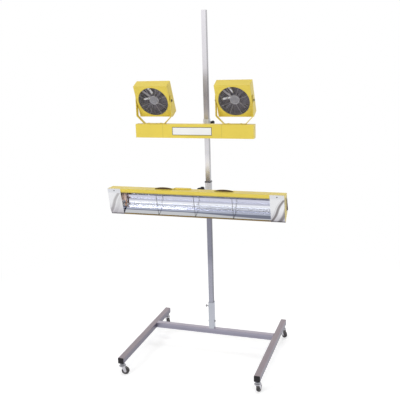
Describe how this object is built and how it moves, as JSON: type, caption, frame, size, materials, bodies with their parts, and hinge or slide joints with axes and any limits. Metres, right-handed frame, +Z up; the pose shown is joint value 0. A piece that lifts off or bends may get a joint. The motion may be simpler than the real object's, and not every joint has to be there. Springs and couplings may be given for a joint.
{
  "type": "infrared paint curing lamp",
  "caption": "Infrared paint curing lamp on a rolling H base: a tilting trough lamp and a bar of tilting fans slide on a square post.",
  "frame": {"origin": "on the floor under the middle of the base's outline", "axes": "+Z up along the post, -Y the way the lamp and fans face, +X to the right as seen by someone who faces the lamp"},
  "size_m": [1.14, 0.8536, 2.2716],
  "materials": {
    "zinc_tube": "zinc plated, satin",
    "zinc_plate": "zinc plated, satin",
    "fastener_steel": "bright zinc plated",
    "black_plastic": "moulded, fine grain",
    "wheel_rubber": "hard, matt",
    "yellow_paint": "powder coat, satin",
    "brown_paint": "matt",
    "polished_aluminium": "polished",
    "quartz": "clear",
    "coil_wire": "dull",
    "ceramic": "unglazed ceramic",
    "white_plate": "satin",
    "fan_wire": "satin",
    "fan_hub": "satin",
    "fan_blade": "satin"
  },
  "bodies": {
    "root": {"left_rail": "zinc_tube", "right_rail": "zinc_tube", "crossbar": "zinc_tube", "rail_end_cap_left_front": "black_plastic", "rail_end_cap_left_rear": "black_plastic", "rail_end_cap_right_front": "black_plastic", "rail_end_cap_right_rear": "black_plastic", "post_socket": "zinc_tube", "post": "zinc_tube", "socket_bolt": "fastener_steel", "caster_stem_left_front": "fastener_steel", "caster_stem_right_front": "fastener_steel", "caster_stem_left_rear": "fastener_steel", "caster_stem_right_rear": "fastener_steel"},
    "thumb_screw": {"socket_thumb_screw": "fastener_steel"},
    "caster_left_front": {"caster_fork_left_front": "zinc_plate"},
    "wheel_left_front": {"caster_wheel_left_front": "wheel_rubber"},
    "caster_right_front": {"caster_fork_right_front": "zinc_plate"},
    "wheel_right_front": {"caster_wheel_right_front": "wheel_rubber"},
    "caster_left_rear": {"caster_fork_left_rear": "zinc_plate"},
    "wheel_left_rear": {"caster_wheel_left_rear": "wheel_rubber"},
    "caster_right_rear": {"caster_fork_right_rear": "zinc_plate"},
    "wheel_right_rear": {"caster_wheel_right_rear": "wheel_rubber"},
    "lamp_carriage": {"lamp_sleeve": "zinc_tube", "lamp_arm": "zinc_tube"},
    "lamp_lock": {"lamp_lock_knob": "black_plastic"},
    "lamp_head": {"lamp_housing": "yellow_paint", "wiring_channel": "brown_paint", "lamp_bracket": "zinc_tube", "cable_gland": "black_plastic", "lamp_reflector": "polished_aluminium", "quartz_tube": "quartz", "heating_coil": "coil_wire", "lamp_holder_left": "ceramic", "lamp_holder_right": "ceramic", "lamp_end_cap_left": "polished_aluminium", "lamp_end_cap_right": "polished_aluminium", "guard_wire_left": "fastener_steel", "guard_wire_middle": "fastener_steel", "guard_wire_right": "fastener_steel"},
    "tilt_lock": {"tilt_knob": "black_plastic"},
    "fan_carriage": {"fan_sleeve": "zinc_tube", "fan_arm": "zinc_tube", "fan_bar": "yellow_paint", "name_plate": "white_plate", "fan_yoke_left": "yellow_paint", "fan_yoke_right": "yellow_paint"},
    "fan_lock": {"fan_lock_knob": "black_plastic"},
    "fan_left": {"fan_shroud_left": "yellow_paint", "fan_guard_left": "fan_wire", "fan_motor_left": "fan_hub", "fan_pivot_bolt_left_outer": "fastener_steel", "fan_pivot_bolt_left_inner": "fastener_steel"},
    "rotor_left": {"fan_rotor_left": "fan_blade"},
    "fan_right": {"fan_shroud_right": "yellow_paint", "fan_guard_right": "fan_wire", "fan_motor_right": "fan_hub", "fan_pivot_bolt_right_outer": "fastener_steel", "fan_pivot_bolt_right_inner": "fastener_steel"},
    "rotor_right": {"fan_rotor_right": "fan_blade"}
  },
  "joints": [
    {"name": "thumb_screw_turn", "type": "hinge", "parent": "root", "child": "thumb_screw", "pos_m": [-0.042, 0.16575, 0.2817], "axis": [1, 0, 0], "range_deg": [0, 360]},
    {"name": "swivel_left_front", "type": "hinge", "parent": "root", "child": "caster_left_front", "pos_m": [-0.446, -0.40175, 0.062], "axis": [0, 0, 1], "continuous": true},
    {"name": "roll_left_front", "type": "hinge", "parent": "caster_left_front", "child": "wheel_left_front", "pos_m": [-0.42827, -0.39862, 0.0254], "axis": [-0.1736, 0.9848, 0], "continuous": true},
    {"name": "swivel_right_front", "type": "hinge", "parent": "root", "child": "caster_right_front", "pos_m": [0.446, -0.40175, 0.062], "axis": [0, 0, 1], "continuous": true},
    {"name": "roll_right_front", "type": "hinge", "parent": "caster_right_front", "child": "wheel_right_front", "pos_m": [0.44913, -0.38402, 0.0254], "axis": [-0.9848, 0.1736, 0], "continuous": true},
    {"name": "swivel_left_rear", "type": "hinge", "parent": "root", "child": "caster_left_rear", "pos_m": [-0.446, 0.40175, 0.062], "axis": [0, 0, 1], "continuous": true},
    {"name": "roll_left_rear", "type": "hinge", "parent": "caster_left_rear", "child": "wheel_left_rear", "pos_m": [-0.43443, 0.38796, 0.0254], "axis": [0.766, 0.6428, 0], "continuous": true},
    {"name": "swivel_right_rear", "type": "hinge", "parent": "root", "child": "caster_right_rear", "pos_m": [0.446, 0.40175, 0.062], "axis": [0, 0, 1], "continuous": true},
    {"name": "roll_right_rear", "type": "hinge", "parent": "caster_right_rear", "child": "wheel_right_rear", "pos_m": [0.45873, 0.38902, 0.0254], "axis": [0.7071, 0.7071, 0], "continuous": true},
    {"name": "lamp_slide", "type": "slide", "parent": "root", "child": "lamp_carriage", "axis": [0, 0, 1], "range_m": [-0.7, 0.12]},
    {"name": "lamp_lock_turn", "type": "hinge", "parent": "lamp_carriage", "child": "lamp_lock", "pos_m": [-0.06, 0.16575, 1.104], "axis": [1, 0, 0], "range_deg": [0, 360]},
    {"name": "lamp_tilt", "type": "hinge", "parent": "lamp_carriage", "child": "lamp_head", "pos_m": [-0.012, -0.06805, 1.1053], "axis": [1, 0, 0], "range_deg": [-25, 75]},
    {"name": "tilt_lock_turn", "type": "hinge", "parent": "lamp_head", "child": "tilt_lock", "pos_m": [0.028, -0.06805, 1.1053], "axis": [1, 0, 0], "range_deg": [0, 360]},
    {"name": "fan_slide", "type": "slide", "parent": "root", "child": "fan_carriage", "axis": [0, 0, 1], "range_m": [-0.08, 0.67]},
    {"name": "fan_lock_turn", "type": "hinge", "parent": "fan_carriage", "child": "fan_lock", "pos_m": [0.028, 0.16575, 1.5645], "axis": [1, 0, 0], "range_deg": [0, 360]},
    {"name": "fan_tilt_left", "type": "hinge", "parent": "fan_carriage", "child": "fan_left", "pos_m": [-0.257, -0.13095, 1.73], "axis": [1, 0, 0], "range_deg": [-8, 45]},
    {"name": "fan_spin_left", "type": "hinge", "parent": "fan_left", "child": "rotor_left", "pos_m": [-0.257, -0.13095, 1.73], "axis": [0, 0.8996, 0.4368], "continuous": true},
    {"name": "fan_tilt_right", "type": "hinge", "parent": "fan_carriage", "child": "fan_right", "pos_m": [0.257, -0.13095, 1.73], "axis": [1, 0, 0], "range_deg": [-8, 45]},
    {"name": "fan_spin_right", "type": "hinge", "parent": "fan_right", "child": "rotor_right", "pos_m": [0.257, -0.13095, 1.73], "axis": [0, 0.8996, 0.4368], "continuous": true}
  ]
}
